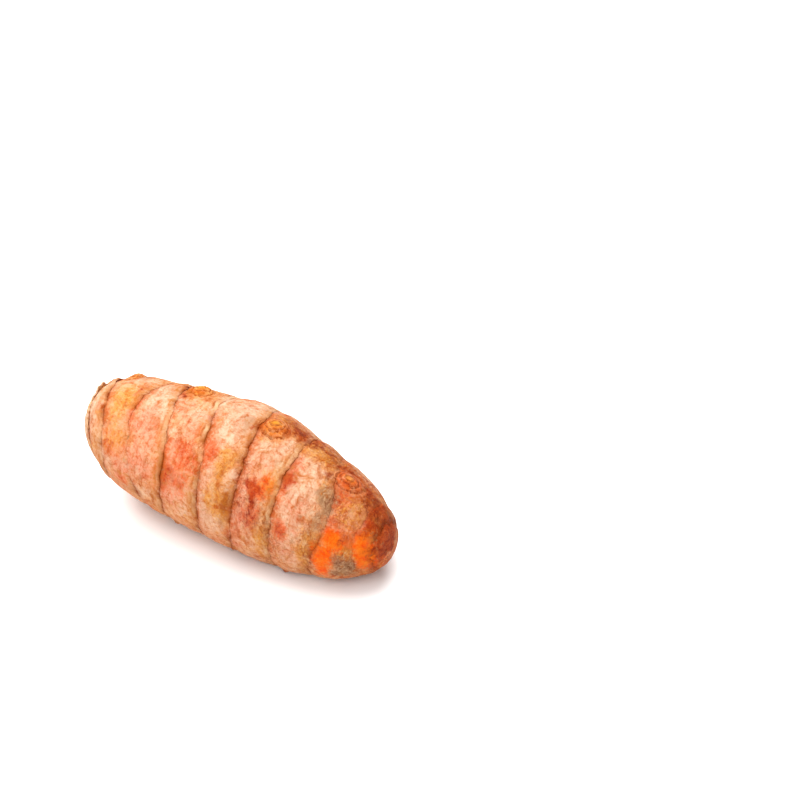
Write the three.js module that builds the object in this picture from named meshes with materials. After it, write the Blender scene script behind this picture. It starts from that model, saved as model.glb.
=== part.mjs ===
// Turmeric root: one whole finger of the rhizome, grown as one piece and lying on its belly.
// Millimetres, +Z up. X runs along the root, from the broken-off base at -X to the growing tip at +X.
// The skin is one closed lathe blank whose points are carried onto a bent, ringed body with buds.
import * as THREE from "three";

// Length and girth
const rootLength = 64; // from pole to pole, before the base is broken off
const bodyRadii = [11.3, 11.9, 12.1, 12.8, 13.3, 12.7, 11.8, 11.3, 10.5]; // evenly spaced, base to tip
const heightFactor = 0.97; // the section is a little lower than it is wide
const baseBluntness = 4.1; // power of the curve that closes each end: a higher one is blunter
const tipBluntness = 3.6;

// Middle line of the body, evenly spaced from base to tip: sideways place and height over the floor
const axisSway = [-1.3, -0.1, 0.7, 0.1, 0.1];
const axisHeight = [16.4, 13.2, 12.4, 10.4, 8.2];

// Broken base: the scar's rim lies in a plane, and its middle is hollow
const scarPlane = -30.4;
const scarHollow = 0.5; // depth of the hollow as a share of the dome that broke away

// Rings where the scale leaves grew: place along the root, and how far the edge leans across and up
const rings = [
  { at: -27.5, across: -0.9, up: -2.2 },
  { at: -25.2, across: -1.8, up: -1.3 },
  { at: -16.7, across: -0.3, up: -1.9 },
  { at: -11.9, across: -2.1, up: -0.9 },
  { at: -3.3, across: -1.6, up: -0.8 },
  { at: 4.6, across: -1.0, up: -0.4 },
  { at: 12.8, across: -0.4, up: -0.1 },
  { at: 20.2, across: -1.4, up: -0.2 },
  { at: 27.9, across: 0, up: -0.2 },
];
const lipHeight = 0.35; // edge on the base side of a ring
const lipReach = 0.7;
const grooveDepth = 0.45; // crease on the tip side of the same ring
const grooveReach = 0.6;
const swellHeight = 0.4; // the body swells between two rings

// Buds sit just past a ring, on two sides in turn: place along the root and angle from +Y towards +Z
const budRadius = 3.2;
const budHeight = 0.9;
const buds = [
  { at: -23.6, angle: 62 },
  { at: -11.3, angle: 72 },
  { at: 6.2, angle: 82 },
  { at: 22.3, angle: 83 },
  { at: -14.6, angle: 292 },
  { at: -1.4, angle: 300 },
  { at: 15.2, angle: 296 },
];

// Fineness of the skin
const columns = 48;
const rowFractions = [0, 0.08, 0.25, 0.5, 0.75, 0.92]; // rows of one internode, from ring to ring

const halfLength = rootLength / 2;
const quarterTurn = Math.PI / 2;

// Smooth curve through points that are evenly spaced along the root
function smoothCurve(points) {
  return new THREE.CatmullRomCurve3(points, false, "catmullrom", 0.5);
}

function placeAlong(index, count) {
  return -halfLength + (rootLength * index) / (count - 1);
}

const radiusCurve = smoothCurve(bodyRadii.map((radius) => new THREE.Vector3(radius, 0, 0)));
const axisCurve = smoothCurve(
  axisHeight.map((height, i) => new THREE.Vector3(placeAlong(i, axisHeight.length), axisSway[i], height)),
);

// Share of the full radius that is left at a place along the root, closing to nothing at both poles
function endClosing(along) {
  const reach = Math.min(Math.abs(along) / halfLength, 1);
  const bluntness = along < 0 ? baseBluntness : tipBluntness;
  return Math.sqrt(1 - reach ** bluntness);
}

function ringPlace(ring, angle) {
  return ring.at + ring.across * Math.cos(angle) + ring.up * Math.sin(angle);
}

// Place of a row at one angle. The two end internodes crowd their rows towards the pole.
function rowPlace(row, angle) {
  const isBase = row.internode === 0;
  const isTip = row.internode === rings.length;
  const start = isBase ? -halfLength : ringPlace(rings[row.internode - 1], angle);
  const end = isTip ? halfLength : ringPlace(rings[row.internode], angle);
  let share = row.fraction;
  if (isBase) share = 1 - Math.cos(share * quarterTurn);
  if (isTip) share = Math.sin(share * quarterTurn);
  return {
    along: start + (end - start) * share,
    share,
    pastRing: isBase ? Infinity : (end - start) * share,
    beforeRing: isTip ? Infinity : (end - start) * (1 - share),
  };
}

function bump(distance, reach) {
  return Math.exp(-((distance / reach) ** 2));
}

// Height of the rings and of the swelling between them
function ringRelief(place) {
  const swell = swellHeight * 4 * place.share * (1 - place.share);
  return swell + lipHeight * bump(place.beforeRing, lipReach) - grooveDepth * bump(place.pastRing, grooveReach);
}

// Height of the buds, each a low dome on the skin
function budRelief(along, angle, radius) {
  return buds.reduce((height, bud) => {
    const turn = angle - THREE.MathUtils.degToRad(bud.angle);
    const round = radius * Math.atan2(Math.sin(turn), Math.cos(turn));
    const share = ((along - bud.at) ** 2 + round ** 2) / budRadius ** 2;
    return share < 1 ? height + budHeight * (1 - share) ** 2 : height;
  }, 0);
}

// The scar's dome is turned inwards at its plane
function brokenBase(along) {
  return along < scarPlane ? scarPlane + scarHollow * (scarPlane - along) : along;
}

// Point of the skin at a row and an angle. Skin that would sink into the floor is pressed flat on it.
function skinPoint(row, angle) {
  const place = rowPlace(row, angle);
  const closing = endClosing(place.along);
  const share = (place.along + halfLength) / rootLength;
  const plainRadius = radiusCurve.getPoint(share).x * closing;
  const relief = ringRelief(place) + budRelief(place.along, angle, plainRadius);
  const radius = plainRadius + relief * closing;
  const centre = axisCurve.getPoint(share);
  const height = centre.z + heightFactor * radius * Math.sin(angle);
  return new THREE.Vector3(
    brokenBase(place.along),
    centre.y + radius * Math.cos(angle),
    Math.max(height, 0),
  );
}

function skinRows() {
  const rows = [];
  for (let internode = 0; internode <= rings.length; internode += 1) {
    rowFractions.forEach((fraction) => rows.push({ internode, fraction }));
  }
  rows.push({ internode: rings.length, fraction: 1 });
  return rows;
}

// Lathe blank with one ring of points for each row, moved onto the skin and set over the origin
function rhizomeGeometry() {
  const rows = skinRows();
  const last = rows.length - 1;
  const profile = rows.map((row, i) => new THREE.Vector2(Math.sin((Math.PI * i) / last), i));
  profile[last].x = 0;
  const geometry = new THREE.LatheGeometry(profile, columns);
  const position = geometry.getAttribute("position");
  for (let i = 0; i < position.count; i += 1) {
    const angle = (2 * Math.PI * Math.floor(i / rows.length)) / columns;
    const point = skinPoint(rows[i % rows.length], angle);
    position.setXYZ(i, point.x, point.y, point.z);
  }
  geometry.computeBoundingBox();
  const middle = geometry.boundingBox.getCenter(new THREE.Vector3());
  geometry.translate(-middle.x, -middle.y, -geometry.boundingBox.min.z);
  geometry.computeVertexNormals();
  return geometry;
}

const skinMaterial = new THREE.MeshStandardMaterial({ color: 0xe0a073, roughness: 0.6, metalness: 0 });

const rhizome = new THREE.Mesh(rhizomeGeometry(), skinMaterial);
rhizome.name = "rhizome";

const turmericRoot = new THREE.Group();
turmericRoot.name = "turmeric_root";
turmericRoot.add(rhizome);

export default turmericRoot;
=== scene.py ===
import math
import bpy
import numpy as np
from mathutils import Matrix, Vector


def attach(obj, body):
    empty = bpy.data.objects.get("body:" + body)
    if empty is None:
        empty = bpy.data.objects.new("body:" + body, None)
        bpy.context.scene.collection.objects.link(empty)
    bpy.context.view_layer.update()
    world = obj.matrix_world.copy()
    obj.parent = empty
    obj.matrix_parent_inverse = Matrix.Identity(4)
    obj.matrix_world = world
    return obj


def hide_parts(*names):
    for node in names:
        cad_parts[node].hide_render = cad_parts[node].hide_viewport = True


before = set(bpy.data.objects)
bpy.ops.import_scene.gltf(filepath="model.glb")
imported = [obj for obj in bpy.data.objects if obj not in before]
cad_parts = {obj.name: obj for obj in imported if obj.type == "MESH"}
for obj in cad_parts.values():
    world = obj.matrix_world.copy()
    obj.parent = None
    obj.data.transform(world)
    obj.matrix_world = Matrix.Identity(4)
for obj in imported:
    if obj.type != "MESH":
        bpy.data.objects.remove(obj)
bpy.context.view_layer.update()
mm = 0.001  # lengths below are millimetres, and this turns them into the scene's metres


# Body of the root, along X from its broken base to its growing tip

rootShape = {
    "length": 64.0,  # pole to pole, before the base is broken off
    "radii": [11.3, 11.9, 12.1, 12.8, 13.3, 12.7, 11.8, 11.3, 10.5],  # evenly spaced, base to tip
    "sway": [-1.3, -0.1, 0.7, 0.1, 0.1],  # middle line, sideways
    "height": [16.4, 13.2, 12.4, 10.4, 8.2],  # middle line, over the floor
    "heightFactor": 0.97,  # the section is a little lower than it is wide
    "baseBluntness": 4.1,  # power of the curve that closes each end: a higher one is blunter
    "tipBluntness": 3.6,
    "shift": (-0.80, -0.72, 0.0),  # from the middle line's frame to the frame of the CAD box
    "swell": 0.30,  # rise of the skin between two rings
    "pressSoftness": 0.3,  # bend of the skin where the belly meets the floor
    "pressDepth": 0.01,
}
skinDetail = {
    "columns": 276,  # points round the root
    "rowsPerMm": 3.7,
    "spareRows": 6,  # more rows for each internode
    "endRows": 32,
    "crowding": 0.55,  # rows crowd towards the rings by this share
    "folds": [0.25, 0.65],  # rows under a ring's free edge, as shares of the way down to the crease
}

# Uneven growth. Each noise is a height, a size, a seed and a number of layers.
skinNoise = {
    "lumps": [(0.30, 11.0, 3, 1), (0.16, 4.0, 5, 1), (0.08, 1.7, 7, 1), (0.035, 0.8, 9, 1)],
    "wrinkle": (0.045, 0.42, 11, 2),  # shrink lines along the rings
    "wrinkleStretch": 9,  # they run this many times further round the root than along it
    "dryness": (0.45, 7.0, 61, 3),
    "patchShift": (0.9, 3.0, 51),  # without layers: a patch's own number is added to the seed
    "patchTurn": (4.5, 3.0, 71),
}

# Rings of old scale leaves, base to tip. place = at + lean (cos, sin) + saddle (cos 2a, sin 2a), in mm.
# lip, reach and groove are shares of the sizes in ringEdge, rim is the paleness of the free edge,
# dark is (angle, strength) of the crease, and flare is where the edge stands off: angle, half width, height.
rings = [
    {"at": -27.5, "lean": (-0.9, -2.2), "saddle": (0.2, 0.7),
     "rim": 0.9, "lip": 0.45, "reach": 0.35, "groove": 0.35,
     "flare": [(80, 26, 1.3), (150, 30, 0.3)],
     "dark": [(60, 0.3), (90, 0.2), (130, 0.2), (155, 0.45), (180, 0.5), (270, 0.5)]},
    {"at": -25.2, "lean": (-1.8, -1.3), "saddle": (0.5, -0.3),
     "rim": 0.3, "lip": 0.45, "reach": 0.4, "groove": 0.4,
     "flare": [(72, 8, 0.5)],
     "dark": [(60, 0.8), (90, 0.5), (106, 1.0), (125, 0.7), (145, 0.6), (165, 0.45), (200, 0.6), (280, 0.6)]},
    {"at": -16.7, "lean": (-0.3, -1.9), "saddle": (0.6, 0.7),
     "rim": 0.1, "lip": 0.22, "reach": 0.15, "groove": 0.2,
     "dark": [(60, 0.35), (90, 0.55), (115, 0.75), (130, 0.25), (150, 0.05), (172, 0.1), (186, 0.9),
              (200, 0.7), (270, 0.6)]},
    {"at": -11.9, "lean": (-2.1, -0.9), "saddle": (0.4, -0.8),
     "rim": 0.35, "lip": 0.42, "reach": 0.35, "groove": 0.5,
     "dark": [(66, 1.0), (85, 0.8), (100, 0.5), (125, 0.5), (140, 0.9), (155, 1.0), (175, 0.7), (195, 0.7),
              (280, 0.7)]},
    {"at": -3.3, "lean": (-1.6, -0.8), "saddle": (0.6, -0.7),
     "rim": 0.95, "lip": 0.4, "reach": 0.35, "groove": 0.45,
     "dark": [(60, 0.2), (85, 0.3), (100, 0.6), (118, 0.8), (140, 0.6), (165, 0.9), (190, 0.9), (280, 0.6)]},
    {"at": 4.6, "lean": (-1.0, -0.4), "saddle": (0.0, -0.7),
     "rim": 0.35, "lip": 0.4, "reach": 0.35, "groove": 0.45,
     "dark": [(70, 0.5), (88, 1.1), (105, 1.0), (125, 0.75), (145, 0.7), (160, 0.9), (185, 0.75), (205, 1.0),
              (280, 0.7)]},
    {"at": 12.8, "lean": (-0.4, -0.1), "saddle": (0.1, -0.3),
     "rim": 0.6, "lip": 0.32, "reach": 0.25, "groove": 0.38,
     "dark": [(75, 0.2), (92, 0.4), (115, 0.8), (140, 0.6), (160, 0.7), (190, 0.5), (280, 0.6)]},
    {"at": 20.2, "lean": (-1.4, -0.2), "saddle": (-0.5, -1.5),
     "rim": 0.25, "lip": 0.25, "reach": 0.2, "groove": 0.3,
     "dark": [(75, 0.5), (95, 0.6), (120, 0.5), (145, 0.4), (165, 0.6), (190, 0.5), (280, 0.6)]},
    {"at": 27.9, "lean": (0.0, -0.2), "saddle": (0.0, 0.2),
     "rim": 0.1, "lip": 0.18, "reach": 0.1, "groove": 0.2,
     "dark": [(70, 0.3), (100, 0.15), (130, 0.05), (165, 0.1), (190, 0.2), (280, 0.3)]},
    {"at": 30.3, "lean": (0.0, 0.0), "saddle": (0.1, 0.1),
     "rim": 0.15, "lip": 0.3, "reach": 0.1, "groove": 0.3,
     "dark": [(60, 0.8), (100, 0.9), (130, 0.6), (165, 0.4), (200, 0.7), (280, 0.6)]},
]
ringEdge = {
    "lipHeight": 0.13, "lipWidth": 0.75, "lipPlace": 0.3,  # rise of the free edge, just before the ring
    "reachLength": 0.2, "reachWidth": 0.8,  # how far it hangs over the crease
    "grooveDepth": 0.13, "grooveWidth": 0.8,
    "shoulder": 0.3, "shoulderRise": 0.6, "shoulderFade": 2.5,  # bulge of the skin past a dark ring
    "noiseRadius": 12,  # the noises below are read on a cylinder of about the root's radius
    "wander": [(0.35, 4.0, 21, 1), (0.26, 1.6, 22, 3)],
    "tears": [(0.9, 3.0, 23, 1), (0.8, 1.0, 24, 1)],
    "darkBreak": (0.7, 2.4, 25, 3),
    "rimBreak": (1.6, 4.0, 27, 3),
}
ringPaint = {  # widths of the painted marks, from the ring
    "line": 0.85, "lineStrength": 0.9, "creaseBefore": 0.56, "creasePast": 0.42,
    "rimPlace": 0.5, "rim": 0.36, "rimHides": 0.75,  # a pale rim hides this share of the dark before the ring
    "secondPlace": 1.0, "second": 0.2, "secondStrength": 0.85,  # thin line on the far side of a pale rim
    "stainPlace": 0.5, "stain": 1.3, "flushPlace": 0.4, "flush": 0.9,
}

# Buds: place along the root and angle round it, half sizes along and across, height, tone from ochre to red
buds = [
    {"at": -25.2, "angle": 62, "half": (1.6, 2.6), "height": 0.7, "tone": 0.3},
    {"at": -10.9, "angle": 71, "half": (2.7, 2.5), "height": 1.0, "tone": 0.15},
    {"at": 6.4, "angle": 81, "half": (3.3, 3.0), "height": 1.0, "tone": 0.4},
    {"at": 22.4, "angle": 81, "half": (2.9, 2.6), "height": 0.85, "tone": 0.8},
    {"at": -14.6, "angle": 292, "half": (2.4, 2.5), "height": 0.9, "tone": 0.4},
    {"at": -1.4, "angle": 300, "half": (2.6, 2.5), "height": 0.9, "tone": 0.5},
    {"at": 15.2, "angle": 296, "half": (2.4, 2.4), "height": 0.8, "tone": 0.6},
    {"at": 31.3, "angle": 212, "half": (0.6, 0.9), "height": 0.35, "tone": 0.7},
]
budScales = {"count": 3.2, "height": 0.16}  # overlapping scales from a bud's edge to its middle

rootlets = [  # stubs of thin roots on the belly: place, angle, radius and height
    (5.3, 208, 0.45, 0.6), (-8.4, 222, 0.6, 0.35), (14.6, 226, 0.5, 0.4), (-18.6, 238, 0.6, 0.4),
    (-2.2, 246, 0.7, 0.3), (10.4, 318, 0.6, 0.4), (-11.6, 326, 0.7, 0.35), (18.8, 312, 0.5, 0.4),
    (-21.5, 318, 0.6, 0.35),
]

baseScar = {
    "plane": -30.4,  # where the base broke off
    "hollow": 0.5,  # depth of the hollow as a share of the dome that broke away
    "edgeNoise": (0.16, 1.6, 43, 3), "edgeStart": 0.1, "edgeWidth": 0.12,
    "faceNoise": (0.4, 1.1, 41, 3), "faceDepth": 0.3,
    "ringAt": 0.6, "ringWidth": 0.06, "ringNoise": (0.03, 2.0, 45, 3),  # as shares of the scar's radius
    "tornEdge": (0.4, 0.5),  # the dark torn edge: how far in, and how wide
}


# Curves and noise

def smoothThrough(values, share):
    # Catmull-Rom: each stretch is a cubic through evenly spaced values, with the ends carried straight on
    knots = np.asarray(values, float)
    padded = np.concatenate([[2 * knots[0] - knots[1]], knots, [2 * knots[-1] - knots[-2]]])
    place = np.clip(share, 0, 1) * (len(knots) - 1)
    index = np.minimum(np.floor(place).astype(int), len(knots) - 2)
    t = place - index
    a, b, c, d = (padded[index + i] for i in range(4))
    return 0.5 * (2 * b + (c - a) * t + (2 * a - 5 * b + 4 * c - d) * t**2 + (3 * b - a - 3 * c + d) * t**3)


def latticeNoise(points, size, seed):
    # gradient noise: a random slope at each corner of a lattice of cubes, and the eight slopes
    # around a point blended with 6t^5 - 15t^4 + 10t^3
    place = points / size + 31.7 * seed
    cell = np.floor(place).astype(np.int64)
    local = place - cell
    ease = local**3 * (local * (local * 6 - 15) + 10)
    total = np.zeros(points.shape[:-1])
    for corner in np.ndindex(2, 2, 2):
        key = cell + np.array(corner)
        code = key[..., 0] * 73856093 ^ key[..., 1] * 19349663 ^ key[..., 2] * 83492791 ^ seed * 2654435761
        code = (code ^ (code >> 13)) * 1274126177 & 0xFFFFFFFF  # large odd numbers scatter the corners
        turn = 2 * np.pi * (code & 0xFFFF) / 65536
        rise = 2 * (code >> 16) / 65535 - 1
        flat = np.sqrt(1 - rise**2)
        away = local - np.array(corner)
        slope = flat * (np.cos(turn) * away[..., 0] + np.sin(turn) * away[..., 1]) + rise * away[..., 2]
        weight = np.prod(np.where(np.array(corner) == 1, ease, 1 - ease), axis=-1)
        total += slope * weight
    return 1.7 * total  # about -1 to 1


def layeredNoise(points, height, size, seed, layers=3):
    # noise on noise: each layer is half the size and half the height of the one before
    return height * sum(latticeNoise(points, size / 2**i, seed + i) / 2**i for i in range(layers))


def turnFrom(angle, centre):
    return (angle - centre + 180.0) % 360.0 - 180.0  # degrees, between -180 and 180


def fallOff(distance, reach, power=2.0):
    return np.exp(-np.abs(distance / reach) ** power)  # 1 in the middle, about a third at the reach


# Skin of the root

def skinRows():
    # rows of the grid as three lists: which internode, the share of it, and how far the edge is folded under
    half = rootShape["length"] / 2
    edges = [-half] + [ring["at"] for ring in rings] + [half]
    internode, share, fold = [], [], []
    for k, (start, end) in enumerate(zip(edges[:-1], edges[1:])):
        isEnd = k in (0, len(rings))
        inner = round((end - start) * skinDetail["rowsPerMm"]) + skinDetail["spareRows"]
        count = skinDetail["endRows"] if isEnd else inner
        t = np.linspace(0, 1, count)
        if k == 0:
            s = 1 - np.cos(t * np.pi / 2)
        elif k == len(rings):
            s = np.sin(t * np.pi / 2)
        else:
            s = t - skinDetail["crowding"] * np.sin(2 * np.pi * t) / (2 * np.pi)
        folds = [] if k == len(rings) else skinDetail["folds"]
        internode += [k] * (count + len(folds))
        share += list(s) + [1.0] * len(folds)
        fold += [0.0] * count + folds
    return np.array(internode), np.array(share)[:, None], np.array(fold)[:, None]


def bodyRadius(along):
    # radius of the plain body: the girth curve times a superellipse that closes both ends
    half = rootShape["length"] / 2
    reach = np.minimum(np.abs(along) / half, 1)
    power = np.where(along < 0, rootShape["baseBluntness"], rootShape["tipBluntness"])
    return smoothThrough(rootShape["radii"], along / (2 * half) + 0.5) * np.sqrt(1 - reach**power)


def ringPlaces(degrees):
    # where each ring lies at each angle, and the ring's noises: its tears, its darkness and its pale rim
    angle = np.radians(degrees)
    at = np.array([
        ring["at"] + ring["lean"][0] * np.cos(angle) + ring["lean"][1] * np.sin(angle)
        + ring["saddle"][0] * np.cos(2 * angle) + ring["saddle"][1] * np.sin(2 * angle) for ring in rings])
    girth = ringEdge["noiseRadius"] + 0 * at
    points = np.stack([at, girth * np.cos(angle), girth * np.sin(angle)], -1)
    wandered = at + sum(layeredNoise(points, *noise) for noise in ringEdge["wander"])
    ragged = 1 + sum(layeredNoise(points, *noise) for noise in ringEdge["tears"])
    marks = np.array([np.interp(degrees, *zip(*ring["dark"]), period=360) for ring in rings])
    dark = marks * np.clip(0.8 + layeredNoise(points, *ringEdge["darkBreak"]), 0.1, 1.2)
    paleness = np.array([[ring["rim"]] for ring in rings])
    rim = paleness * np.clip(0.6 + layeredNoise(points, *ringEdge["rimBreak"]), 0, 1.3)
    return wandered, ragged, dark, rim


def ringHeights(degrees, ragged, dark):
    # rise, overhang and crease of each ring's edge: its share of the full size, torn by the noise
    lip, reach, groove = (np.array([[ring[name]] for ring in rings]) for name in ("lip", "reach", "groove"))
    lip = ringEdge["lipHeight"] * lip * np.clip(0.6 + 0.5 * ragged, 0.2, 2) * (0.15 + dark)
    reach = ringEdge["reachLength"] * reach * np.clip(ragged, 0, 2.4)
    groove = ringEdge["grooveDepth"] * groove * (0.1 + dark)
    for k, ring in enumerate(rings):
        for middle, width, height in ring.get("flare", []):
            lip[k] += height * np.clip(ragged[k], 0.4, 1.4) * fallOff(turnFrom(degrees, middle), width)
    return lip, reach, groove


def budField(along, angle, radius):
    # distance from the nearest bud's middle, 1 at its edge, with that bud's height and tone
    nearest = np.full(along.shape, 9.0)
    height = np.zeros(along.shape)
    tone = np.zeros(along.shape)
    for bud in buds:
        across = np.radians(turnFrom(angle, bud["angle"])) * np.maximum(radius, 1)
        distance = np.hypot((along - bud["at"]) / bud["half"][0], across / bud["half"][1])
        closer = distance < nearest
        nearest = np.where(closer, distance, nearest)
        height = np.where(closer, bud["height"], height)
        tone = np.where(closer, bud["tone"], tone)
    return nearest, height, tone


def rootletField(along, angle, radius):
    # height of the root stubs, flat-topped bumps, and their tone, which reaches a little further
    height = np.zeros(along.shape)
    tone = np.zeros(along.shape)
    for at, turn, stub, rise in rootlets:
        across = np.radians(turnFrom(angle, turn)) * np.maximum(radius, 1)
        off = np.hypot(along - at, across) / stub
        height = height + rise * np.exp(-off**4)
        tone = np.maximum(tone, fallOff(off, 1.1))
    return height, tone


def skinGrid():
    # grid of points: the plain body, plus ring lips, creases, buds, stubs, lumps and wrinkles along its
    # outward direction, bent along the middle line, broken at the base and pressed flat on the floor
    half = rootShape["length"] / 2
    internode, share, fold = skinRows()
    isFold = fold > 0
    degrees = np.arange(skinDetail["columns"]) * 360.0 / skinDetail["columns"]
    angle = np.radians(degrees)[None, :]
    ringAt, ragged, dark, rim = ringPlaces(degrees)
    lip, reach, groove = ringHeights(degrees, ragged, dark)

    pole = np.full((1, skinDetail["columns"]), half)
    none = np.zeros((1, skinDetail["columns"]))
    edges = np.concatenate([-pole, ringAt, pole])
    start, end = edges[internode], edges[internode + 1]
    along = start + (end - start) * share
    before, past = end - along, along - start
    lipNext, reachNext, grooveNext, darkNext, rimNext = (
        np.concatenate([v, none])[internode] for v in (lip, reach, groove, dark, rim))
    groovePast, darkPast = (np.concatenate([none, v])[internode] for v in (groove, dark))

    radius = bodyRadius(along)
    plain = np.stack([along, radius * np.cos(angle), radius * np.sin(angle)], -1)
    shoulder = (1 - np.exp(-past / ringEdge["shoulderRise"])) * np.exp(-past / ringEdge["shoulderFade"])
    relief = rootShape["swell"] * 4 * share * (1 - share)
    relief = relief + lipNext * fallOff(before - ringEdge["lipPlace"], ringEdge["lipWidth"], 3)
    relief = relief - groovePast * fallOff(past, ringEdge["grooveWidth"], 1.6)
    relief = relief + darkPast * ringEdge["shoulder"] * shoulder
    relief = np.where(isFold, (1 - fold) * lipNext - fold * grooveNext, relief)

    budDistance, budHeight, budTone = budField(along, degrees[None, :], radius)
    dome = np.clip(1 - budDistance**2, 0, 1) ** 1.2
    terrace = budScales["height"] * ((budScales["count"] * budDistance) % 1.0 - 0.5)
    relief = relief + np.where(budDistance < 1, budHeight * dome + terrace * (1 - dome), 0)
    stubHeight, stubTone = rootletField(along, degrees[None, :], radius)
    relief = relief + stubHeight
    for noise in skinNoise["lumps"]:
        relief = relief + layeredNoise(plain, *noise)
    drawnOut = plain / np.array([1, skinNoise["wrinkleStretch"], skinNoise["wrinkleStretch"]])
    relief = relief + np.where(isFold, 0, layeredNoise(drawnOut, *skinNoise["wrinkle"]))

    lengthShare = along / (2 * half) + 0.5
    grown = radius + relief * np.clip(radius / 3, 0, 1)  # relief dies out towards the poles
    over = reachNext * np.where(isFold, (1 - fold) ** 0.6, fallOff(before, ringEdge["reachWidth"]))
    broken = np.clip(baseScar["plane"] - along, 0, None)
    edge = broken + layeredNoise(plain, *baseScar["edgeNoise"]) - baseScar["edgeStart"]
    torn = np.clip(edge / baseScar["edgeWidth"], 0, 1)
    x = np.maximum(along, baseScar["plane"]) + baseScar["hollow"] * broken + over
    x = x + torn * (layeredNoise(plain, *baseScar["faceNoise"]) + baseScar["faceDepth"])
    y = smoothThrough(rootShape["sway"], lengthShare) + grown * np.cos(angle)
    z = smoothThrough(rootShape["height"], lengthShare) + rootShape["heightFactor"] * grown * np.sin(angle)
    z = 0.5 * (z + np.sqrt(z**2 + rootShape["pressSoftness"] ** 2)) - rootShape["pressDepth"]
    points = np.stack([x, y, np.maximum(z, 0)], -1) + np.array(rootShape["shift"])

    # What the finish reads at each point
    paint = ringPaint
    shown = darkNext * (1 - paint["rimHides"] * np.clip(rimNext, 0, 1))
    lineBefore = paint["lineStrength"] * shown * fallOff(before, 1.1 * paint["line"], 1.5)
    linePast = paint["lineStrength"] * darkPast * fallOff(past, paint["line"] * (0.5 + 0.7 * darkPast), 1.4)
    secondLine = paint["secondStrength"] * rimNext * fallOff(before - paint["secondPlace"], paint["second"])
    creaseBefore = shown * fallOff(before, paint["creaseBefore"], 1.6)
    creasePast = darkPast * fallOff(past, paint["creasePast"], 1.6)
    stain = fallOff(before - paint["stainPlace"], paint["stain"])
    scarShare = radius / radius[broken > 0].max() - layeredNoise(plain, *baseScar["ringNoise"])
    scarRing = fallOff(scarShare - baseScar["ringAt"], baseScar["ringWidth"])
    tornAt, tornWidth = baseScar["tornEdge"]
    tipwards = 0.6 + 0.4 * np.tanh((along - 2) / 9)  # the skin is drier towards the tip
    fields = {
        "ringLine": np.where(isFold, 0.75 * darkNext, np.maximum.reduce([lineBefore, linePast, secondLine])),
        "ringCrease": np.where(isFold, darkNext, np.maximum(creaseBefore, creasePast)) ** 1.15,
        "ringRim": rimNext * np.where(isFold, 0.3, fallOff(before - paint["rimPlace"], paint["rim"], 4)),
        "ringStain": (0.3 + 0.7 * darkNext) * (rimNext > 0) * stain,
        "ringFlush": darkPast * fallOff(past - paint["flushPlace"], paint["flush"]),
        "dryness": np.clip(tipwards + layeredNoise(plain, *skinNoise["dryness"]), 0.1, 1),
        "rootlet": stubTone,
        "budDistance": np.minimum(budDistance, 2),
        "budTone": budTone,
        "scar": torn,
        "scarRing": torn * np.maximum(scarRing, fallOff(torn - tornAt, tornWidth)),
    }
    return points, fields, along, degrees[None, :] + 0 * along, plain


# Patches of finish on the skin: along the root, angle round it, half sizes in mm and degrees, strength

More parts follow.
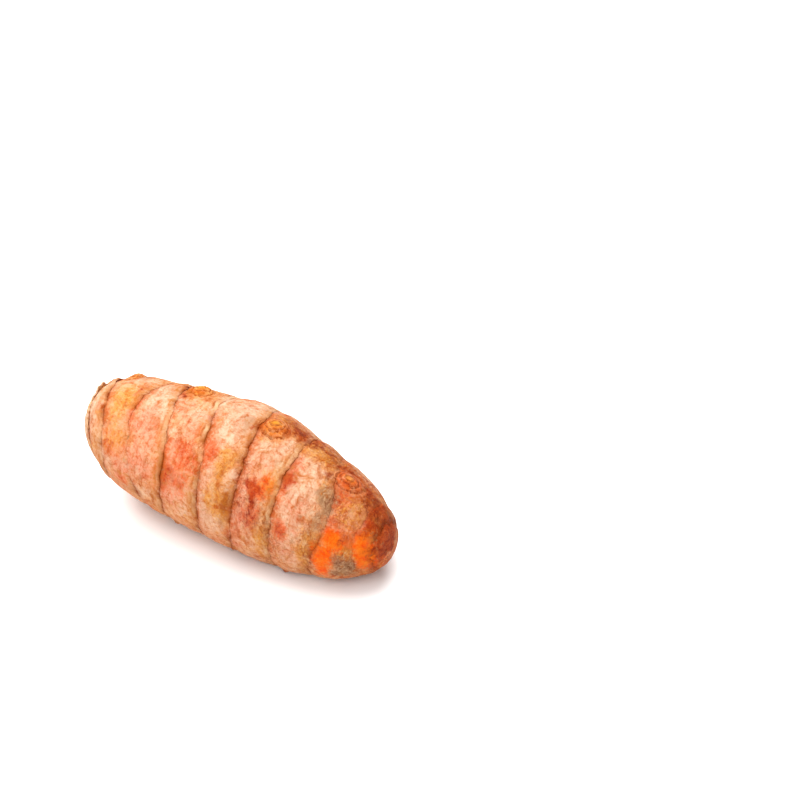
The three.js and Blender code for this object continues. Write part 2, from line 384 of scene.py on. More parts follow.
patches = {
    "tan": [
        # tan skin, partly painted shade: the patches on the upper back, at 62 to 85 degrees, stand in for the
        # shade that neighbouring roots throw there
        (5.0, 157, 1.2, 14, 1.0), (29.0, 130, 3.6, 90, 0.8), (30.0, 290, 6.0, 120, 0.8),
        (25.0, 85, 4.0, 26, 0.55), (20.0, 66, 10.0, 18, 0.9), (7.0, 62, 6.0, 14, 0.8),
        (-10.0, 62, 4.0, 14, 0.6), (-18.0, 300, 14.0, 60, 0.7), (6.0, 320, 14.0, 50, 0.7),
        (5.0, 205, 8.0, 10, 0.25), (-6.0, 208, 10.0, 10, 0.25),
    ],
    "cream": [
        (-15.8, 88, 3.4, 22, 1.0), (-14.6, 108, 2.4, 14, 0.8), (-22.5, 72, 3.4, 14, 0.7),
        (1.9, 92, 3.6, 30, 1.0), (0.4, 80, 2.4, 18, 0.9), (0.6, 104, 2.4, 16, 0.95),
        (-0.4, 152, 1.6, 26, 0.8), (1.6, 176, 2.0, 16, 0.5), (1.5, 68, 3.0, 16, 0.9),
        (-6.4, 102, 3.0, 20, 0.75), (-4.8, 76, 2.2, 18, 0.8), (9.0, 108, 3.2, 18, 0.9),
        (11.0, 90, 1.8, 16, 0.9), (4.3, 139, 1.3, 9, 0.9), (16.6, 116, 3.4, 30, 0.95),
        (16.8, 152, 2.6, 18, 0.6), (-13.6, 183, 3.4, 9, 0.6), (-22.0, 176, 2.4, 9, 0.6),
        (-27.6, 130, 1.6, 70, 0.9), (-29.8, 140, 1.9, 90, 1.0), (-24.5, 165, 2.4, 20, 0.6),
        (1.6, 180, 2.8, 16, 0.75), (-4.6, 184, 2.4, 14, 0.6), (10.0, 188, 2.4, 14, 0.6),
        (17.5, 188, 2.4, 16, 0.5),
    ],
    "blush": [
        (-15.5, 124, 3.4, 17, 0.9), (-13.8, 156, 4.0, 17, 1.0), (-16.2, 114, 2.0, 9, 0.7),
        (-8.4, 136, 1.8, 18, 0.9), (-7.0, 174, 2.4, 13, 0.9), (6.9, 138, 1.7, 15, 1.0),
        (7.0, 167, 1.8, 24, 0.9), (6.3, 192, 1.6, 12, 0.8), (13.7, 103, 1.2, 13, 1.0),
        (16.6, 172, 3.0, 24, 0.5), (-18.4, 174, 2.0, 14, 0.9), (-10.5, 99, 1.8, 12, 0.7),
        (25.6, 118, 2.6, 26, 0.8), (-6.2, 112, 2.6, 14, 0.6), (9.6, 120, 2.2, 10, 0.5),
        (16.5, 135, 2.6, 14, 0.5), (-21.0, 138, 2.6, 14, 0.4),
    ],
    "coral": [
        (-5.2, 136, 3.2, 11, 1.0), (24.6, 136, 2.2, 14, 1.0), (23.6, 106, 2.0, 14, 0.8),
        (27.4, 128, 1.6, 18, 0.8), (27.0, 150, 1.2, 14, 0.6), (-5.8, 158, 3.2, 13, 1.0),
        (-1.2, 126, 1.7, 12, 1.0), (-4.8, 115, 1.6, 7, 0.7), (-19.2, 114, 1.0, 14, 1.0),
        (-9.7, 143, 1.3, 16, 1.0), (-9.4, 168, 1.5, 13, 0.8), (15.6, 160, 1.5, 11, 0.9),
        (9.4, 160, 2.0, 15, 0.9), (-20.6, 153, 2.2, 14, 0.9), (-16.0, 156, 2.2, 12, 0.6),
        (-12.6, 130, 1.6, 10, 0.5), (13.6, 130, 0.9, 24, 0.6), (9.4, 136, 1.6, 11, 0.6),
        (-17.6, 182, 1.6, 12, 0.7), (5.6, 130, 0.8, 40, 0.6),
    ],
    "ochre": [
        (-22.4, 110, 2.3, 22, 1.0), (-20.8, 148, 2.2, 15, 0.7), (10.9, 131, 1.4, 9, 0.9),
        (2.6, 126, 2.0, 11, 0.95), (1.9, 139, 1.3, 9, 1.0), (2.6, 158, 1.8, 14, 0.9),
        (4.2, 170, 1.3, 10, 0.6), (11.9, 183, 1.6, 20, 0.8), (12.0, 118, 1.2, 18, 0.7),
        (20.0, 110, 1.4, 14, 0.7), (20.0, 178, 1.4, 30, 0.9), (15.5, 72, 4.6, 15, 0.9),
        (25.6, 115, 2.6, 26, 0.6), (-11.0, 69, 3.2, 17, 1.0), (3.0, 190, 2.4, 10, 0.35),
        (-4.4, 196, 2.6, 10, 0.4), (7.0, 70, 3.6, 16, 1.0), (6.8, 95, 2.6, 6, 0.8),
        (30.2, 178, 1.0, 16, 0.7), (26.6, 162, 1.2, 12, 0.8), (-26.0, 175, 2.0, 20, 0.6),
    ],
    "rust": [
        (8.5, 134, 1.0, 6, 1.0), (9.0, 145, 0.8, 6, 1.0), (9.9, 136, 0.7, 5, 0.9),
        (10.6, 127, 0.9, 4, 0.6), (14.2, 118, 1.3, 9, 1.0), (9.6, 162, 1.5, 13, 0.6),
        (-5.5, 160, 2.6, 10, 0.4), (-8.4, 160, 0.8, 10, 0.8), (22.0, 95, 2.0, 10, 0.6),
        (11.0, 138, 1.0, 6, 0.5), (15.6, 160, 0.9, 8, 0.6), (-20.4, 88, 0.7, 12, 0.6),
        (26.0, 148, 0.7, 10, 0.6), (28.4, 116, 1.0, 20, 0.9), (4.4, 88, 0.9, 10, 0.7),
    ],
    "browned": [
        # browned: dark red-brown skin and painted shade together; at the tip and along the upper back it
        # stands in for the shadow that neighbouring roots throw there
        (31.2, 104, 1.6, 66, 1.0), (30.4, 74, 2.2, 26, 1.0), (29.4, 112, 1.0, 12, 0.8),
        (31.8, 160, 0.5, 60, 0.8), (9.0, 62, 3.6, 9, 0.6), (-12.6, 78, 1.2, 8, 0.9),
        (19.6, 88, 0.9, 8, 0.9), (26.0, 72, 4.0, 12, 0.7), (10.4, 70, 2.0, 8, 0.8),
        (3.3, 88, 0.5, 9, 0.9), (23.0, 70, 3.4, 8, 0.9), (15.0, 62, 6.0, 9, 0.6),
        (30.6, 215, 1.4, 24, 0.7), (28.0, 92, 1.4, 12, 0.7), (20.9, 178, 0.5, 26, 0.5),
    ],
    "cork": [
        (21.5, 118, 1.5, 21, 1.0), (26.7, 186, 1.7, 20, 1.0), (26.2, 200, 2.2, 9, 0.8),
        (2.8, 94, 1.4, 14, 0.5), (0.8, 90, 1.6, 8, 0.4), (20.8, 146, 0.7, 12, 0.5),
        (4.4, 180, 1.0, 12, 0.5), (-14.8, 189, 1.4, 8, 0.7), (-23.8, 62, 2.0, 12, 0.8),
        (19.8, 108, 0.9, 8, 0.6), (-17.5, 194, 6.0, 6, 0.4), (-26.0, 196, 4.0, 14, 0.5),
    ],
    "flake": [
        (-29.6, 150, 1.7, 66, 1.0), (-28.6, 112, 1.3, 44, 0.95), (4.4, 139, 1.1, 8, 0.5),
        (11.6, 110, 0.9, 12, 0.8), (-4.8, 74, 0.9, 14, 0.9), (-13.4, 92, 1.1, 14, 0.7),
        (-9.0, 120, 1.2, 9, 0.5), (8.0, 100, 1.6, 8, 0.6), (17.2, 108, 1.6, 14, 0.7),
        (1.0, 108, 1.2, 7, 0.7),
    ],
    "umber": [
        (5.2, 158, 1.0, 13, 1.0), (-9.9, 151, 0.8, 14, 0.95), (-2.8, 116, 0.5, 12, 0.8),
        (4.2, 103, 0.8, 8, 0.8), (13.1, 150, 0.5, 20, 0.7), (21.6, 165, 0.7, 14, 0.7),
        (-11.2, 190, 0.6, 10, 0.7), (-1.6, 178, 0.5, 14, 0.7),
    ],
    "rubbed": [
        (24.1, 151, 1.9, 13, 1.0), (23.2, 172, 1.8, 18, 1.0), (22.6, 194, 1.4, 18, 0.9),
        (25.0, 149, 1.1, 8, 0.8), (29.2, 128, 1.3, 22, 0.9), (29.0, 150, 1.8, 20, 1.0),
        (29.4, 174, 1.7, 22, 1.0), (30.6, 200, 1.0, 24, 0.8), (10.9, 131, 1.5, 11, 0.6),
        (22.4, 132, 0.8, 8, 0.4),
    ],
}
# Seeded patches on the hidden side, of every finish: half sizes in mm, degrees to a millimetre, strength
hiddenPatches = {
    "seed": 17, "count": 9, "along": (-27, 29), "angle": (235, 395), "half": (0.8, 2.6),
    "degreesPerMm": (4, 8), "strength": (0.35, 0.85),
}


def patchField(name, along, angle, plain):
    # soft union of ellipses on the skin, their edges pushed about by noise; a seeded few lie out of sight
    order = sorted(patches).index(name)
    draw = np.random.default_rng(hiddenPatches["seed"] + order)
    count = hiddenPatches["count"]
    half = draw.uniform(*hiddenPatches["half"], count)
    extra = np.stack([
        draw.uniform(*hiddenPatches["along"], count), draw.uniform(*hiddenPatches["angle"], count),
        half, half * draw.uniform(*hiddenPatches["degreesPerMm"], count),
        draw.uniform(*hiddenPatches["strength"], count)], -1)
    shiftHeight, shiftSize, shiftSeed = skinNoise["patchShift"]
    turnHeight, turnSize, turnSeed = skinNoise["patchTurn"]
    shifted = along + layeredNoise(plain, shiftHeight, shiftSize, shiftSeed + order)
    turned = angle + layeredNoise(plain, turnHeight, turnSize, turnSeed + order)
    bare = np.ones(along.shape)
    for at, turn, halfAlong, halfAngle, strength in [*patches[name], *extra]:
        distance = np.hypot((shifted - at) / halfAlong, turnFrom(turned, turn) / halfAngle)
        bare *= 1 - strength * np.exp(-0.9 * distance**2.4)
    return 1 - np.clip(bare, 0, 1)


def closedMesh(name, points):
    # rows of the grid joined into rings of quads, and each end row drawn together into one pole
    rows, columns = points.shape[:2]
    ringRows = rows - 2
    poles = np.stack([points[0].mean(0), points[-1].mean(0)])
    vertices = np.concatenate([points[1:-1].reshape(-1, 3), poles]) * mm
    i, j = np.meshgrid(np.arange(ringRows - 1), np.arange(columns), indexing="ij")
    following = (j + 1) % columns
    quads = np.stack([i * columns + j, i * columns + following, (i + 1) * columns + following,
                      (i + 1) * columns + j], -1).reshape(-1, 4)
    first = np.arange(columns)
    after = (first + 1) % columns
    lastRow = (ringRows - 1) * columns
    basePole = np.full(columns, ringRows * columns)
    fans = np.concatenate([np.stack([basePole, after, first], -1),
                           np.stack([basePole + 1, lastRow + first, lastRow + after], -1)])
    corners = np.concatenate([quads.ravel(), fans.ravel()])
    starts = np.concatenate([np.arange(len(quads)) * 4, len(quads) * 4 + np.arange(len(fans)) * 3])
    mesh = bpy.data.meshes.new(name)
    mesh.vertices.add(len(vertices))
    mesh.vertices.foreach_set("co", vertices.ravel())
    mesh.loops.add(len(corners))
    mesh.loops.foreach_set("vertex_index", corners.astype(np.int32))
    mesh.polygons.add(len(starts))
    mesh.polygons.foreach_set("loop_start", starts.astype(np.int32))
    mesh.polygons.foreach_set("use_smooth", np.ones(len(starts), bool))
    mesh.update(calc_edges=True)
    mesh.validate()
    return mesh


def onVertices(values):
    # a grid's values in the order of the mesh: its ring rows, then the two poles
    return np.concatenate([values[1:-1].ravel(), [values[0].mean(), values[-1].mean()]])


def finishFields(fields, along, angle, plain):
    # every patch stops short of the buds, ring marks fade under rubbed skin, cork and the browned skin with
    # its painted shade, and pale skin cracks less
    clearOfBuds = np.clip((fields["budDistance"] - 0.8) / 0.4, 0, 1)
    for name in patches:
        fields[name] = clearOfBuds * patchField(name, along, angle, plain)
    wornAndShaded = np.maximum.reduce([fields["rubbed"], fields["cork"], fields["browned"]])
    for name in ("ringStain", "ringRim", "ringLine"):
        fields[name] *= 1 - 0.85 * wornAndShaded
    fields["dryness"] *= clearOfBuds * (1 - 0.8 * fields["cream"]) * (1 - 0.6 * fields["rubbed"])


skinPoints, skinFields, skinAlong, skinAngle, skinPlain = skinGrid()
finishFields(skinFields, skinAlong, skinAngle, skinPlain)
skinMesh = closedMesh("rhizomeSkin", skinPoints)
for fieldName, fieldValues in skinFields.items():
    attribute = skinMesh.attributes.new(fieldName, "FLOAT", "POINT")
    attribute.data.foreach_set("value", onVertices(fieldValues).astype(np.float32))
rhizomeSkin = bpy.data.objects.new("rhizomeSkin", skinMesh)
bpy.context.scene.collection.objects.link(rhizomeSkin)
triangles = sum(len(p.vertices) - 2 for p in skinMesh.polygons)
print("skin of the root:", skinPoints.shape[:2], "grid,", triangles, "triangles")


# Materials

def linearColour(hexColour):
    # sRGB hex to linear light
    parts = [int(hexColour[i:i + 2], 16) / 255 for i in (1, 3, 5)]
    return (*[p / 12.92 if p <= 0.04045 else ((p + 0.055) / 1.055) ** 2.4 for p in parts], 1.0)


def perMm(size):
    return 1000.0 / size  # texture scale for a pattern of this size in millimetres


def addNode(tree, kind, values=None, links=None, **settings):
    node = tree.nodes.new(kind)
    for name, value in settings.items():
        setattr(node, name, value)
    for socket, value in (values or {}).items():
        node.inputs[socket].default_value = value
    for socket, source in (links or {}).items():
        tree.links.new(source, node.inputs[socket])
    return node


# Dry papery turmeric skin: a thin corky layer, cream where it is whole, flushed salmon where the flesh shows
# through, orange where it has rubbed away. It gives the eye a soft satin, mottled in under a millimetre.
skinTones = {
    "peach": "#cc9871", "salmon": "#c98155", "honey": "#c98e51",
    "paleGrain": "#ccb396", "deepGrain": "#e0b080",  # the deep one multiplies what lies under it
    "paleVein": "#e0a878", "deepVein": "#b4683a", "speck": "#976741",  # so do the veins
    "ringStain": "#b87a30", "ringFlush": "#c35a2d", "ringRim": "#cba981", "ringLine": "#924109",
    "ringCrease": "#782c03",
    "budLight": "#cf811b", "budDark": "#b63c05", "budMiddle": "#cf8b2c", "budLine": "#883c08",
    "budDeepLine": "#621b02",
    "scar": "#b07a45", "scarFlesh": "#c07a30",
}
tones = {name: linearColour(code) for name, code in skinTones.items()}

# Finishes in the order that they are laid over each other: tone, second tone, size of the mottling, cover
finishesUnderGrain = [
    # tan is partly painted shade: on the upper back it stands in for the shade of neighbouring roots
    {"name": "tan", "tone": "#c0651c", "second": "#a2460a", "mottle": 1.5, "cover": 0.9},
    {"name": "cream", "tone": "#ceaa8e", "second": "#c8957a", "mottle": 1.3, "cover": 0.95},
    {"name": "blush", "tone": "#ce7e60", "second": "#ce987c", "mottle": 1.2, "cover": 0.9},
    {"name": "coral", "tone": "#cd5d32", "second": "#ce744c", "mottle": 0.9, "cover": 0.95},
    {"name": "ochre", "tone": "#cc8e41", "second": "#be7628", "mottle": 0.9, "cover": 0.9},
    {"name": "flake", "tone": "#cfb296", "second": "#cca281", "mottle": 0.9, "cover": 0.95},
]
finishesOverGrain = [
    {"name": "umber", "tone": "#a04c05", "second": "#7e3403", "mottle": 0.8, "cover": 0.9},
    {"name": "rubbed", "tone": "#d64300", "second": "#dc720e", "mottle": 1.3, "cover": 1.0},
    {"name": "cork", "tone": "#b48a66", "second": "#4c2409", "mottle": 0.7, "cover": 0.95},
    {"name": "rust", "tone": "#8f1f04", "second": "#b04414", "mottle": 0.7, "cover": 0.95},
    # browned is partly painted shade: the shadow of neighbouring roots on the tip and upper back, painted as
    # dark red-brown skin
    {"name": "browned", "tone": "#6a1a02", "second": "#a63a02", "mottle": 1.0, "cover": 0.95},
]
ringMarks = [  # least and most cover where the fine grain breaks a mark up, in the order that they are laid
    ("ringStain", 0.2, 0.7), ("ringFlush", 0.1, 0.7), ("ringRim", 0.35, 0.9), ("ringLine", 0.6, 1.0),
    ("ringCrease", 0.5, 1.05),
]
skinPatterns = {  # noises that several finishes share: size in mm, detail, roughness, distortion
    "broad": (5.0, 4.0, 0.5, 0.0), "warm": (3.1, 5.0, 0.5, 0.0), "flecks": (3.0, 4.0, 0.6, 1.4),
    "grain": (0.7, 5.0, 0.65, 0.8), "shrink": (0.9, 4.0, 0.5, 0.5), "specks": (0.6, 2.0, 0.5, 0.0),
}
grainCover = [("flecks", 1.0, 0.26), ("grain", 0.9, 0.2), ("shrink", 0.5, 0.1)]  # how deep and how pale
skinVeins = [  # shrink lines: size in mm, width, strength, and whether they are drawn out round the root
    (3.4, 0.026, 0.6, False), (1.9, 0.026, 0.35, False), (1.3, 0.03, 0.55, True),
]
skinSurface = {
    "drawnOut": (1, 0.22, 0.22),  # lengthens a pattern round the root
    "fibreSpacing": 1.1, "papery": 0.6, "rubbed": 0.42, "bumpHeight": 0.4, "leastCrackle": 0.3,
    "ior": 1.45, "specular": 0.06,
}


# Sockets by number. Map Range: 0 is the value, 1 and 2 its range, 3 and 4 the range that it becomes.
# Mix: 0 is the factor, 6 and 7 the colour below and the one above, and the result is output 2.

def layFinish(tree, place, colour, layer):
    # one finish over the colour so far: its field on the skin, eaten away by its own mottling
    field = addNode(tree, "ShaderNodeAttribute", attribute_name=layer["name"]).outputs["Fac"]
    grit = {"Scale": perMm(layer["mottle"]), "Detail": 6.0, "Roughness": 0.72, "Distortion": 0.6}
    mottle = addNode(tree, "ShaderNodeTexNoise", grit, {"Vector": place}).outputs["Fac"]
    tone = addNode(tree, "ShaderNodeMapRange", {1: 0.35, 2: 0.65}, {0: mottle}).outputs[0]
    paint = addNode(tree, "ShaderNodeMix", {6: linearColour(layer["tone"]), 7: linearColour(layer["second"])},
                    {0: tone}, data_type="RGBA").outputs[2]
    broken = addNode(tree, "ShaderNodeMath", {1: -1.9, 2: 0.95}, {0: mottle},
                     operation="MULTIPLY_ADD").outputs[0]
    edge = addNode(tree, "ShaderNodeMath", {}, {0: field, 1: broken}, operation="ADD").outputs[0]
    cover = addNode(tree, "ShaderNodeMapRange", {1: 0.1, 2: 0.95, 4: layer["cover"]}, {0: edge},
                    interpolation_type="SMOOTHSTEP").outputs[0]
    held = addNode(tree, "ShaderNodeMapRange", {1: 0.02, 2: 0.3}, {0: field}).outputs[0]
    factor = addNode(tree, "ShaderNodeMath", {}, {0: cover, 1: held}, operation="MULTIPLY").outputs[0]
    return addNode(tree, "ShaderNodeMix", {}, {0: factor, 6: colour, 7: paint}, data_type="RGBA").outputs[2]


def groundColour(tree, patterns):
    # peach and salmon in broad clouds, with honey in smaller ones
    cloud = addNode(tree, "ShaderNodeMapRange", {1: 0.35, 2: 0.65}, {0: patterns["broad"]}).outputs[0]
    colour = addNode(tree, "ShaderNodeMix", {6: tones["peach"], 7: tones["salmon"]}, {0: cloud},
                     data_type="RGBA").outputs[2]
    cover = addNode(tree, "ShaderNodeMapRange", {1: 0.48, 2: 0.68, 4: 0.7}, {0: patterns["warm"]}).outputs[0]
    return addNode(tree, "ShaderNodeMix", {7: tones["honey"]}, {0: cover, 6: colour},
                   data_type="RGBA").outputs[2]


def layBuds(tree, colour, bud):
    # the buds' own colour, from ochre to red by each bud's tone, with an uneven edge
    paint = addNode(tree, "ShaderNodeMix", {6: tones["budLight"], 7: tones["budDark"]}, {0: bud["tone"]},
                    data_type="RGBA").outputs[2]
    cover = addNode(tree, "ShaderNodeMapRange", {1: 1.25, 2: 0.75, 4: 0.85}, {0: bud["place"]},
                    interpolation_type="SMOOTHSTEP").outputs[0]
    return addNode(tree, "ShaderNodeMix", {}, {0: cover, 6: colour, 7: paint}, data_type="RGBA").outputs[2]


def layGrain(tree, colour, patterns):
    # where the thin skin is thicker or thinner: deeper in some specks and paler in others
    for name, deep, pale in grainCover:
        pattern = patterns[name]
        deeper = addNode(tree, "ShaderNodeMapRange", {1: 0.5, 2: 0.68, 4: deep}, {0: pattern}).outputs[0]
        colour = addNode(tree, "ShaderNodeMix", {7: tones["deepGrain"]}, {0: deeper, 6: colour},
                         data_type="RGBA", blend_type="MULTIPLY").outputs[2]
        paler = addNode(tree, "ShaderNodeMapRange", {1: 0.48, 2: 0.34, 4: pale}, {0: pattern}).outputs[0]
        colour = addNode(tree, "ShaderNodeMix", {7: tones["paleGrain"]}, {0: paler, 6: colour},
                         data_type="RGBA").outputs[2]
    return colour


def layRings(tree, colour, patterns):
    # ochre staining before the free edge, a red flush past it, its pale dry rim, and the brown crease
    for mark, least, most in ringMarks:
        field = addNode(tree, "ShaderNodeAttribute", attribute_name=mark).outputs["Fac"]
        broken = addNode(tree, "ShaderNodeMapRange", {1: 0.36, 2: 0.56, 3: least, 4: most},
                         {0: patterns["grain"]}).outputs[0]
        cover = addNode(tree, "ShaderNodeMath", {}, {0: field, 1: broken}, operation="MULTIPLY",
                        use_clamp=True).outputs[0]
        colour = addNode(tree, "ShaderNodeMix", {7: tones[mark]}, {0: cover, 6: colour},
                         data_type="RGBA").outputs[2]
    return colour


def layBudScales(tree, colour, patterns, bud):
    # a bright middle, and the broken dark edges of the scales round it
    turn = addNode(tree, "ShaderNodeMath", {1: budScales["count"]}, {0: bud["place"]},
                   operation="MULTIPLY").outputs[0]
    step = addNode(tree, "ShaderNodeMath", {}, {0: turn}, operation="FRACT").outputs[0]
    line = addNode(tree, "ShaderNodeMapRange", {1: 0.32, 2: 0.88, 4: 0.88}, {0: step}).outputs[0]
    inside = addNode(tree, "ShaderNodeMapRange", {1: 1.15, 2: 0.95}, {0: bud["place"]}).outputs[0]
    middleCover = addNode(tree, "ShaderNodeMapRange", {3: 0.95, 4: 0.3}, {0: bud["tone"]}).outputs[0]
    middle = addNode(tree, "ShaderNodeMapRange", {1: 0.42, 2: 0.1},
                     {0: bud["place"], 4: middleCover}).outputs[0]
    colour = addNode(tree, "ShaderNodeMix", {7: tones["budMiddle"]}, {0: middle, 6: colour},
                     data_type="RGBA").outputs[2]
    gaps = addNode(tree, "ShaderNodeMapRange", {1: 0.4, 2: 0.54, 3: 0.45}, {0: patterns["grain"]}).outputs[0]
    broken = addNode(tree, "ShaderNodeMath", {}, {0: line, 1: gaps}, operation="MULTIPLY").outputs[0]
    cover = addNode(tree, "ShaderNodeMath", {}, {0: broken, 1: inside}, operation="MULTIPLY").outputs[0]
    paint = addNode(tree, "ShaderNodeMix", {6: tones["budLine"], 7: tones["budDeepLine"]}, {0: bud["tone"]},
                    data_type="RGBA").outputs[2]
    return addNode(tree, "ShaderNodeMix", {}, {0: cover, 6: colour, 7: paint}, data_type="RGBA").outputs[2]


def layVeins(tree, colour, place, around, dryness):
    # fine wandering shrink lines where a noise crosses its middle, deepest where the skin is driest
    deepening = addNode(tree, "ShaderNodeMapRange", {1: 0.3, 2: 0.9}, {0: dryness}).outputs[0]
    paint = addNode(tree, "ShaderNodeMix", {6: tones["paleVein"], 7: tones["deepVein"]}, {0: deepening},
                    data_type="RGBA").outputs[2]
    for size, width, strength, isDrawnOut in skinVeins:
        vein = addNode(tree, "ShaderNodeTexNoise", {"Scale": perMm(size), "Detail": 3.0, "Distortion": 1.8},
                       {"Vector": around if isDrawnOut else place}).outputs["Fac"]
        side = addNode(tree, "ShaderNodeMath", {1: 0.5}, {0: vein}, operation="SUBTRACT").outputs[0]
        away = addNode(tree, "ShaderNodeMath", {}, {0: side}, operation="ABSOLUTE").outputs[0]
        cover = addNode(tree, "ShaderNodeMapRange", {1: width, 2: 0.0, 4: strength}, {0: away}).outputs[0]
        factor = addNode(tree, "ShaderNodeMath", {}, {0: cover, 1: dryness}, operation="MULTIPLY").outputs[0]
        colour = addNode(tree, "ShaderNodeMix", {}, {0: factor, 6: colour, 7: paint}, data_type="RGBA",
                         blend_type="MULTIPLY").outputs[2]
    return colour


def laySpecks(tree, colour, patterns):
    # corky specks, clustered by the broad clouds, and the dark root stubs
    clusters = addNode(tree, "ShaderNodeMapRange", {1: 0.4, 2: 0.65, 3: -0.06, 4: 0.06},
                       {0: patterns["broad"]}).outputs[0]
    level = addNode(tree, "ShaderNodeMath", {}, {0: patterns["specks"], 1: clusters},
                    operation="ADD").outputs[0]
    cover = addNode(tree, "ShaderNodeMapRange", {1: 0.6, 2: 0.7, 4: 0.45}, {0: level}).outputs[0]
    colour = addNode(tree, "ShaderNodeMix", {7: tones["speck"]}, {0: cover, 6: colour},
                     data_type="RGBA").outputs[2]
    stub = addNode(tree, "ShaderNodeAttribute", attribute_name="rootlet").outputs["Fac"]
    return addNode(tree, "ShaderNodeMix", {7: tones["ringCrease"]}, {0: stub, 6: colour},
                   data_type="RGBA").outputs[2]


def layScar(tree, colour, place, patterns):
    # broken flesh at the base, with the ends of its fibres and a darker ring
    scar = addNode(tree, "ShaderNodeAttribute", attribute_name="scar").outputs["Fac"]
    ring = addNode(tree, "ShaderNodeAttribute", attribute_name="scarRing").outputs["Fac"]
    cells = {"Scale": perMm(skinSurface["fibreSpacing"]), "Randomness": 1.0}
    fibres = addNode(tree, "ShaderNodeTexVoronoi", cells, {"Vector": place}).outputs["Distance"]
    fibreEnd = addNode(tree, "ShaderNodeMapRange", {1: 0.34, 2: 0.16, 4: 0.9}, {0: fibres}).outputs[0]
    cloud = addNode(tree, "ShaderNodeMapRange", {1: 0.4, 2: 0.62}, {0: patterns["flecks"]}).outputs[0]
    paint = addNode(tree, "ShaderNodeMix", {6: tones["scar"], 7: tones["scarFlesh"]}, {0: cloud},
                    data_type="RGBA").outputs[2]
    dark = addNode(tree, "ShaderNodeMath", {}, {0: ring, 1: fibreEnd}, operation="MAXIMUM").outputs[0]
    paint = addNode(tree, "ShaderNodeMix", {7: tones["ringLine"]}, {0: dark, 6: paint},
                    data_type="RGBA").outputs[2]
    return addNode(tree, "ShaderNodeMix", {}, {0: scar, 6: colour, 7: paint}, data_type="RGBA").outputs[2]


def driedSkin():
    material = bpy.data.materials.new("driedTurmericSkin")
    material.use_nodes = True
    tree = material.node_tree
    tree.nodes.clear()
    place = addNode(tree, "ShaderNodeTexCoord").outputs["Object"]
    around = addNode(tree, "ShaderNodeMapping", {"Scale": skinSurface["drawnOut"]},
                     {"Vector": place}).outputs[0]
    patterns = {}
    for name, (size, detail, roughness, distortion) in skinPatterns.items():
        grit = {"Scale": perMm(size), "Detail": detail, "Roughness": roughness, "Distortion": distortion}
        line = around if name == "shrink" else place
        patterns[name] = addNode(tree, "ShaderNodeTexNoise", grit, {"Vector": line}).outputs["Fac"]
    dryness = addNode(tree, "ShaderNodeAttribute", attribute_name="dryness").outputs["Fac"]
    rubbed = addNode(tree, "ShaderNodeAttribute", attribute_name="rubbed").outputs["Fac"]

    # a bud's place is the distance from its middle, made uneven by the flecks
    budDistance = addNode(tree, "ShaderNodeAttribute", attribute_name="budDistance").outputs["Fac"]
    budTone = addNode(tree, "ShaderNodeAttribute", attribute_name="budTone").outputs["Fac"]
    wobble = addNode(tree, "ShaderNodeMath", {1: 0.8, 2: -0.4}, {0: patterns["flecks"]},
                     operation="MULTIPLY_ADD").outputs[0]
    budPlace = addNode(tree, "ShaderNodeMath", {}, {0: budDistance, 1: wobble}, operation="ADD").outputs[0]
    bud = {"place": budPlace, "tone": budTone}

    colour = groundColour(tree, patterns)
    for layer in finishesUnderGrain:
        colour = layFinish(tree, place, colour, layer)
    colour = layBuds(tree, colour, bud)
    colour = layGrain(tree, colour, patterns)
    for layer in finishesOverGrain:
        colour = layFinish(tree, place, colour, layer)
    colour = layRings(tree, colour, patterns)
    colour = layBudScales(tree, colour, patterns, bud)
    colour = layVeins(tree, colour, place, around, dryness)
    colour = laySpecks(tree, colour, patterns)
    colour = layScar(tree, colour, place, patterns)

    # Satin: rubbed places are smoother than the papery ones, and dry places are more crackled
    rough = addNode(tree, "ShaderNodeMapRange", {3: skinSurface["papery"], 4: skinSurface["rubbed"]},
                    {0: rubbed}).outputs[0]
    height = addNode(tree, "ShaderNodeMath", {1: 0.8}, {0: patterns["shrink"], 2: patterns["grain"]},
                     operation="MULTIPLY_ADD").outputs[0]
    crackle = addNode(tree, "ShaderNodeMapRange", {3: skinSurface["leastCrackle"]}, {0: dryness}).outputs[0]
    bump = addNode(tree, "ShaderNodeBump", {"Distance": skinSurface["bumpHeight"] * mm},
                   {"Height": height, "Strength": crackle}).outputs[0]
    gloss = {"IOR": skinSurface["ior"], "Specular IOR Level": skinSurface["specular"]}
    surface = addNode(tree, "ShaderNodeBsdfPrincipled", gloss,
                      {"Base Color": colour, "Roughness": rough, "Normal": bump}).outputs[0]
    addNode(tree, "ShaderNodeOutputMaterial", {}, {"Surface": surface})
    return material


skinMesh.materials.append(driedSkin())
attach(rhizomeSkin, "root")
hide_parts("rhizome")
print("finish of the skin:", len(finishesUnderGrain) + len(finishesOverGrain), "layers")


# Floor, light and camera

studio = {  # metres and watts
    "floorTone": "#fcfcfc", "floorSize": 6.0, "floorRoughness": 0.9, "floorSpecular": 0.1,
    "world": 0.32,
    "key": 14.8, "keySize": 1.1, "keyPlace": (-0.22, 0.1, 0.8),
    "fill": 5.2, "fillSize": 0.6, "fillPlace": (0.15, -0.58, 0.74),
}
cameraView = {  # the view is set by the angle that it looks from and by what lies at its centre
    "azimuth": 29.65,  # degrees from straight across the root, towards its tip
    "elevation": 38.0,  # degrees down
    "distance": 354.6,
    "lens": 85.0,
    "sensorWidth": 36.0,
    "nearest": 10.0,
    "aimRight": 29.25,  # the picture's centre lies this far right of the root's middle line
    "aimUp": 23.57,
}


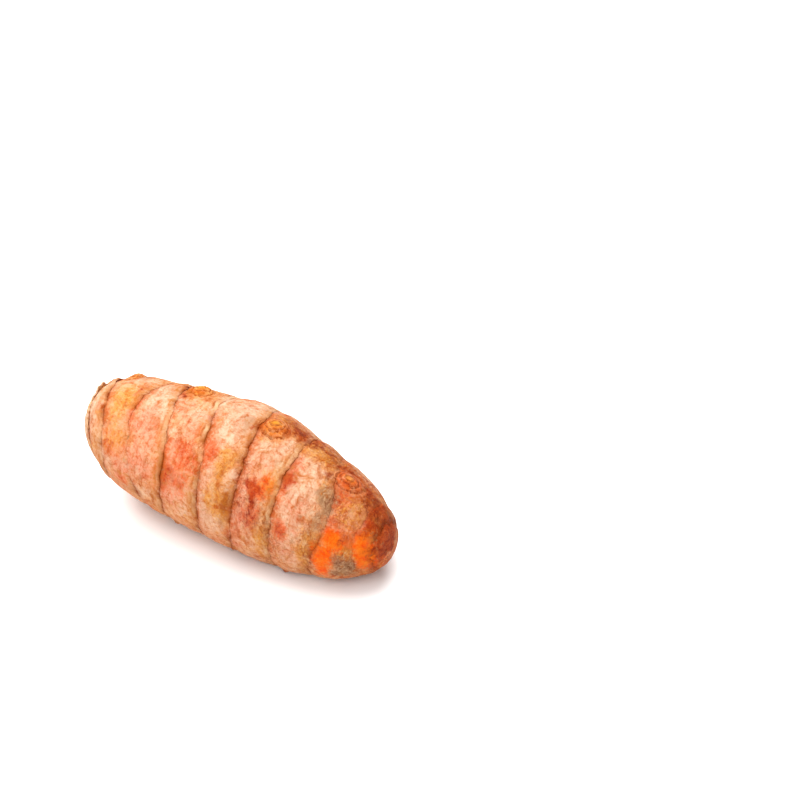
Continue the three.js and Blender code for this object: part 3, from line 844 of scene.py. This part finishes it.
def paleFloor():
    half = studio["floorSize"] / 2
    corners = [(-half, -half, 0), (half, -half, 0), (half, half, 0), (-half, half, 0)]
    mesh = bpy.data.meshes.new("paleFloor")
    mesh.from_pydata(corners, [], [(0, 1, 2, 3)])
    floor = bpy.data.objects.new("paleFloor", mesh)
    bpy.context.scene.collection.objects.link(floor)
    material = bpy.data.materials.new("whiteCard")
    material.use_nodes = True
    shader = material.node_tree.nodes["Principled BSDF"]
    shader.inputs["Base Color"].default_value = linearColour(studio["floorTone"])
    shader.inputs["Roughness"].default_value = studio["floorRoughness"]
    shader.inputs["Specular IOR Level"].default_value = studio["floorSpecular"]
    mesh.materials.append(material)


def softLight(name, place, size, energy):
    data = bpy.data.lights.new(name, "AREA")
    data.shape = "DISK"
    data.size = size
    data.energy = energy
    light = bpy.data.objects.new(name, data)
    light.location = place
    light.rotation_euler = (-Vector(place)).to_track_quat("-Z", "Y").to_euler()
    bpy.context.scene.collection.objects.link(light)


def photoCamera(view):
    # the camera stands back from an aim point set off from the root, so that the root falls left of centre
    turn, tilt = math.radians(view["azimuth"]), math.radians(view["elevation"])
    right = Vector((math.cos(turn), math.sin(turn), 0))
    back = Vector((math.sin(turn) * math.cos(tilt), -math.cos(turn) * math.cos(tilt), math.sin(tilt)))
    up = back.cross(right)
    aim = (right * view["aimRight"] + up * view["aimUp"] + Vector(rootShape["shift"])) * mm
    data = bpy.data.cameras.new("photoCamera")
    data.lens = view["lens"]
    data.sensor_width = view["sensorWidth"]
    data.clip_start = view["nearest"] * mm
    camera = bpy.data.objects.new("photoCamera", data)
    turned = Matrix((right, up, back)).transposed().to_4x4()
    camera.matrix_world = Matrix.Translation(aim + back * view["distance"] * mm) @ turned
    bpy.context.scene.collection.objects.link(camera)
    bpy.context.scene.camera = camera


paleFloor()
softLight("overheadSoftbox", studio["keyPlace"], studio["keySize"], studio["key"])
softLight("frontFill", studio["fillPlace"], studio["fillSize"], studio["fill"])
world = bpy.data.worlds.new("studioWhite")
world.use_nodes = True
background = world.node_tree.nodes["Background"]
background.inputs["Color"].default_value = (1, 1, 1, 1)
background.inputs["Strength"].default_value = studio["world"]
bpy.context.scene.world = world
bpy.context.scene.view_settings.view_transform = "Standard"
photoCamera(cameraView)
print("floor, light and camera set")
